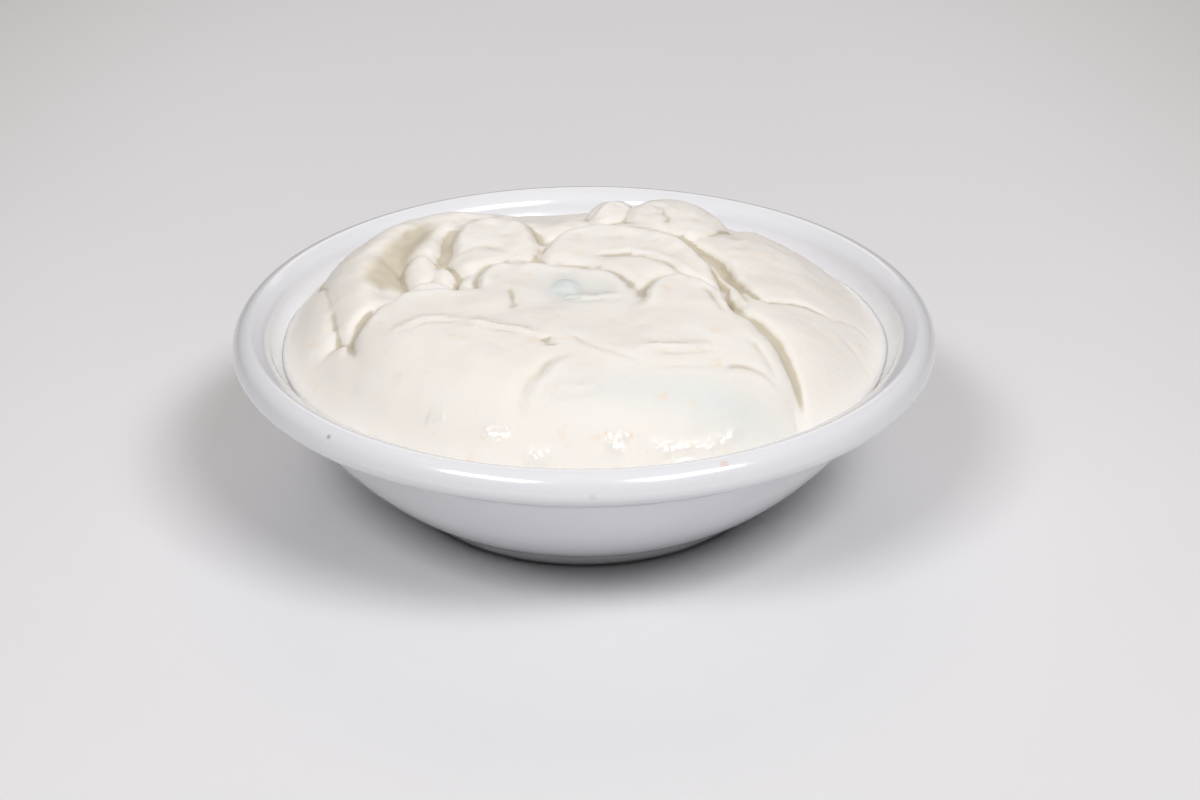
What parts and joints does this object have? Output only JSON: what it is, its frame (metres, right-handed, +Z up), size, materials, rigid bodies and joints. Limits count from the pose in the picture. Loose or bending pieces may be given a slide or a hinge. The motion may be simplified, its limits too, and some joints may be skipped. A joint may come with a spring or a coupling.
{
  "type": "bowl of yogurt",
  "caption": "Small white glazed bowl with a rolled rim and a low foot, heaped above the rim with thick, softly folded yogurt.",
  "frame": {"origin": "middle of the bowl's foot, in the plane that it rests on", "axes": "+Z up along the bowl's axis, -Y towards the side that the picture looks at, +X to the right"},
  "size_m": [0.125, 0.125, 0.0432],
  "materials": {
    "white_glaze": "gloss",
    "thick_yogurt": "satin"
  },
  "bodies": {
    "root": {"bowl": "white_glaze", "yogurt": "thick_yogurt"}
  },
  "joints": []
}
